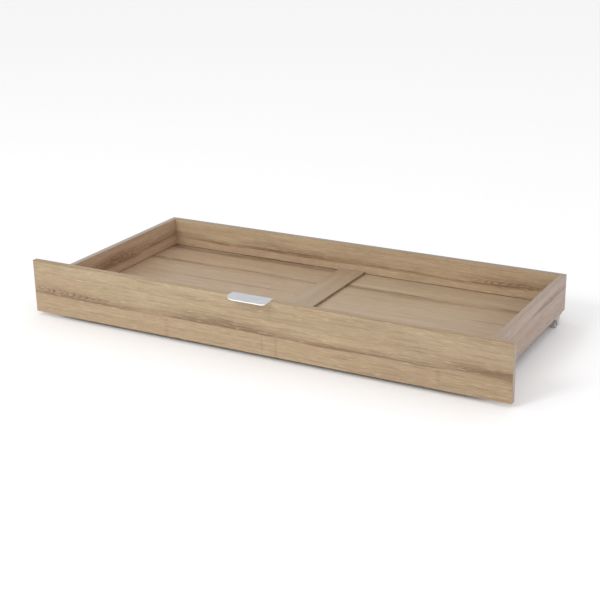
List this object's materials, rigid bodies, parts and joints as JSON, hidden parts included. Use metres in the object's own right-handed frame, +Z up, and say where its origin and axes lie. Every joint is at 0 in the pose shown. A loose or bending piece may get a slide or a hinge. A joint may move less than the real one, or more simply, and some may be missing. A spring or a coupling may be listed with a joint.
{
  "type": "under bed box",
  "caption": "Shallow open storage box on fixed castors that rolls under a bed, with a wide front board, a lip pull, thin base panels and a centre rail.",
  "frame": {"origin": "on the floor, under the middle of the footprint that includes the handle", "axes": "+X to the right along the front board, +Y from the front to the back, +Z up"},
  "size_m": [1.4, 0.633, 0.163],
  "materials": {
    "oak_board": "satin oak-effect melamine facing on chipboard",
    "handle_metal": "satin silver",
    "zinc_fitting": "die-cast zinc",
    "steel_fixing": "bright zinc-plated steel",
    "beech_dowel": "bare beech",
    "castor_plastic": "moulded, greige",
    "wheel_plastic": "moulded, pale grey"
  },
  "bodies": {
    "drawer": {"front_panel": "oak_board", "back_panel": "oak_board", "left_side_panel": "oak_board", "right_side_panel": "oak_board", "centre_rail": "oak_board", "left_base_panel": "oak_board", "right_base_panel": "oak_board", "cam_front_left_lower": "zinc_fitting", "cam_front_left_upper": "zinc_fitting", "cam_front_right_lower": "zinc_fitting", "cam_front_right_upper": "zinc_fitting", "cam_back_left_lower": "zinc_fitting", "cam_back_left_upper": "zinc_fitting", "cam_back_right_lower": "zinc_fitting", "cam_back_right_upper": "zinc_fitting", "cam_bolt_front_left_lower": "steel_fixing", "cam_bolt_front_left_upper": "steel_fixing", "cam_bolt_front_right_lower": "steel_fixing", "cam_bolt_front_right_upper": "steel_fixing", "cam_bolt_back_left_lower": "steel_fixing", "cam_bolt_back_left_upper": "steel_fixing", "cam_bolt_back_right_lower": "steel_fixing", "cam_bolt_back_right_upper": "steel_fixing", "dowel_front_left": "beech_dowel", "dowel_front_right": "beech_dowel", "dowel_back_left": "beech_dowel", "dowel_back_right": "beech_dowel", "rail_dowel_left": "beech_dowel", "rail_dowel_right": "beech_dowel", "rail_screw_left": "steel_fixing", "rail_screw_right": "steel_fixing", "pull_handle": "handle_metal", "handle_screw_left": "steel_fixing", "handle_screw_right": "steel_fixing", "castor_housing_front_left": "castor_plastic", "castor_housing_front_right": "castor_plastic", "castor_housing_back_left": "castor_plastic", "castor_housing_back_right": "castor_plastic", "castor_axle_front_left": "steel_fixing", "castor_axle_front_right": "steel_fixing", "castor_axle_back_left": "steel_fixing", "castor_axle_back_right": "steel_fixing", "castor_screw_front_left_fore": "steel_fixing", "castor_screw_front_left_aft": "steel_fixing", "castor_screw_front_right_fore": "steel_fixing", "castor_screw_front_right_aft": "steel_fixing", "castor_screw_back_left_fore": "steel_fixing", "castor_screw_back_left_aft": "steel_fixing", "castor_screw_back_right_fore": "steel_fixing", "castor_screw_back_right_aft": "steel_fixing"},
    "wheel_front_left": {"castor_wheel_front_left": "wheel_plastic"},
    "wheel_front_right": {"castor_wheel_front_right": "wheel_plastic"},
    "wheel_back_left": {"castor_wheel_back_left": "wheel_plastic"},
    "wheel_back_right": {"castor_wheel_back_right": "wheel_plastic"}
  },
  "joints": [
    {"name": "wheel_spin_front_left", "type": "hinge", "parent": "drawer", "child": "wheel_front_left", "pos_m": [-0.627, -0.2125, 0.0125], "axis": [1, 0, 0], "continuous": true},
    {"name": "wheel_spin_front_right", "type": "hinge", "parent": "drawer", "child": "wheel_front_right", "pos_m": [0.627, -0.2125, 0.0125], "axis": [1, 0, 0], "continuous": true},
    {"name": "wheel_spin_back_left", "type": "hinge", "parent": "drawer", "child": "wheel_back_left", "pos_m": [-0.627, 0.2615, 0.0125], "axis": [1, 0, 0], "continuous": true},
    {"name": "wheel_spin_back_right", "type": "hinge", "parent": "drawer", "child": "wheel_back_right", "pos_m": [0.627, 0.2615, 0.0125], "axis": [1, 0, 0], "continuous": true}
  ]
}
